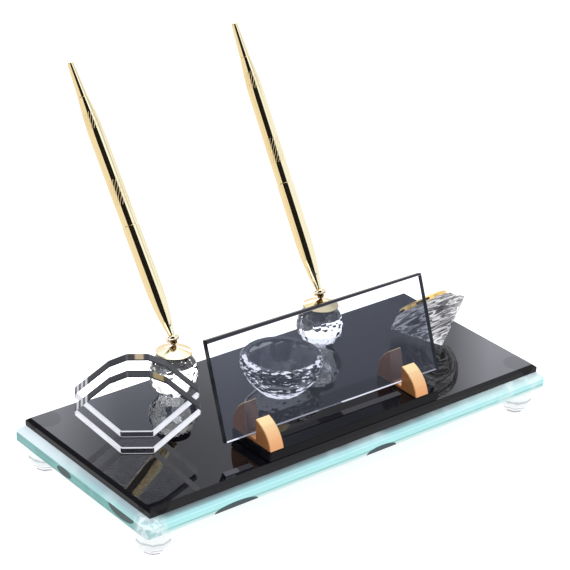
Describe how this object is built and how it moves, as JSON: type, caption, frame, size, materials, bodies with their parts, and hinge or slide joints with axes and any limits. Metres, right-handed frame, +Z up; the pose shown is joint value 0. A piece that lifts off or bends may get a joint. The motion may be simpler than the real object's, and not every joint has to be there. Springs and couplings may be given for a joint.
{
  "type": "crystal desk set",
  "caption": "Glass desk base with swivelling pen sockets and twist pens, name plate on stands, card plates, cut bowl and a brilliant-cut clock.",
  "frame": {"origin": "on the desk under the middle of the outline's bounding box, pens included", "axes": "+X along the long side of the base, to the right seen from the visitor's side; +Y towards the user, where the pens lean; +Z up"},
  "size_m": [0.3094, 0.2144, 0.2206],
  "materials": {
    "plinth_glass": "clear float glass, pale green in its edges, polished bevel",
    "black_glass": "black glass with a mirror polish",
    "crystal": "clear cut crystal, polished facets",
    "smoked_glass": "clear smoked glass, polished edges",
    "copper_finish": "peach to copper anodised, satin",
    "pale_gold": "polished pale gold plating",
    "clock_gold": "polished yellow gold plating",
    "raw_brass": "turned brass",
    "soft_ring": "translucent soft plastic",
    "dial_face": "matt off-white",
    "movement_body": "moulded black plastic",
    "cell_steel": "button cell steel",
    "hand_black": "black lacquer"
  },
  "bodies": {
    "desk_base": {"glass_plinth": "plinth_glass", "smoked_slab": "black_glass", "ball_foot_front_left": "crystal", "ball_foot_front_right": "crystal", "ball_foot_rear_left": "crystal", "ball_foot_rear_right": "crystal", "card_plate_front": "crystal", "card_plate_rear": "crystal", "clip_bowl": "crystal", "stand_bar": "black_glass", "plate_stand_left": "copper_finish", "plate_stand_right": "copper_finish", "crystal_ball_left": "crystal", "crystal_ball_right": "crystal", "dome_cap_left": "pale_gold", "dome_cap_right": "pale_gold", "clock_crystal": "crystal"},
    "plate": {"name_plate": "smoked_glass"},
    "stud_left": {"swivel_stud_left": "pale_gold"},
    "stud_right": {"swivel_stud_right": "pale_gold"},
    "socket_left": {"pen_socket_left": "pale_gold"},
    "socket_right": {"pen_socket_right": "pale_gold"},
    "pen_left": {"pen_barrel_left": "pale_gold", "twist_sleeve_left": "raw_brass"},
    "pen_right": {"pen_barrel_right": "pale_gold", "twist_sleeve_right": "raw_brass"},
    "top_left": {"pen_top_left": "pale_gold", "pen_end_left": "pale_gold"},
    "top_right": {"pen_top_right": "pale_gold", "pen_end_right": "pale_gold"},
    "refill_left": {"pen_refill_left": "raw_brass"},
    "refill_right": {"pen_refill_right": "raw_brass"},
    "clock_insert": {"clock_bezel": "clock_gold", "clock_lens": "crystal", "clock_case": "clock_gold", "grip_ring": "soft_ring", "clock_dial": "dial_face", "clock_movement": "movement_body", "clock_battery": "cell_steel"},
    "minute_train": {"setting_arbor": "raw_brass", "minute_hand": "hand_black"},
    "hour": {"hour_hand": "hand_black"},
    "second": {"second_hand": "hand_black"}
  },
  "joints": [
    {"name": "plate_lift", "type": "slide", "parent": "desk_base", "child": "plate", "axis": [0.0064, 0.3664, 0.9304], "range_m": [0, 0.018]},
    {"name": "swivel_left", "type": "hinge", "parent": "desk_base", "child": "stud_left", "pos_m": [-0.0604, -0.00129, 0.067], "axis": [0, 0, 1], "continuous": true},
    {"name": "tilt_left", "type": "hinge", "parent": "stud_left", "child": "socket_left", "pos_m": [-0.0604, -0.00129, 0.067], "axis": [-0.9997, -0.0244, 0], "range_deg": [-77.3, 4.7]},
    {"name": "pull_left", "type": "slide", "parent": "socket_left", "child": "pen_left", "axis": [-0.0145, 0.5918, 0.8059], "range_m": [0, 0.03]},
    {"name": "twist_left", "type": "hinge", "parent": "pen_left", "child": "top_left", "pos_m": [-0.06046, 0.00125, 0.07047], "axis": [-0.0145, 0.5918, 0.8059], "range_deg": [0, 180]},
    {"name": "refill_slide_left", "type": "slide", "parent": "pen_left", "child": "refill_left", "axis": [-0.0145, 0.5918, 0.8059], "range_m": [0, 0.0036]},
    {"name": "swivel_right", "type": "hinge", "parent": "desk_base", "child": "stud_right", "pos_m": [0.053, -0.00279, 0.067], "axis": [0, 0, 1], "continuous": true},
    {"name": "tilt_right", "type": "hinge", "parent": "stud_right", "child": "socket_right", "pos_m": [0.053, -0.00279, 0.067], "axis": [-1, 0, 0], "range_deg": [-73.4, 8.6]},
    {"name": "pull_right", "type": "slide", "parent": "socket_right", "child": "pen_right", "axis": [0, 0.5358, 0.8443], "range_m": [0, 0.03]},
    {"name": "twist_right", "type": "hinge", "parent": "pen_right", "child": "top_right", "pos_m": [0.053, -0.00049, 0.07063], "axis": [0, 0.5358, 0.8443], "range_deg": [0, 180]},
    {"name": "refill_slide_right", "type": "slide", "parent": "pen_right", "child": "refill_right", "axis": [0, 0.5358, 0.8443], "range_m": [0, 0.0036]},
    {"name": "insert_pull", "type": "slide", "parent": "desk_base", "child": "clock_insert", "axis": [-0.0229, 0.6557, 0.7547], "range_m": [0, 0.02]},
    {"name": "minute_turn", "type": "hinge", "parent": "clock_insert", "child": "minute_train", "pos_m": [0.1166, -0.03459, 0.05019], "axis": [0.0229, -0.6557, -0.7547], "continuous": true},
    {"name": "hour_turn", "type": "hinge", "parent": "clock_insert", "child": "hour", "pos_m": [0.1166, -0.03459, 0.05019], "axis": [0.0229, -0.6557, -0.7547], "continuous": true},
    {"name": "second_turn", "type": "hinge", "parent": "clock_insert", "child": "second", "pos_m": [0.1166, -0.03459, 0.05019], "axis": [0.0229, -0.6557, -0.7547], "continuous": true}
  ],
  "couplings": [
    {"joint": "refill_slide_left", "follows": "twist_left", "m_per_rad": 0.001114},
    {"joint": "refill_slide_right", "follows": "twist_right", "m_per_rad": 0.001114},
    {"joint": "hour_turn", "follows": "minute_turn", "ratio": 0.083333}
  ]
}
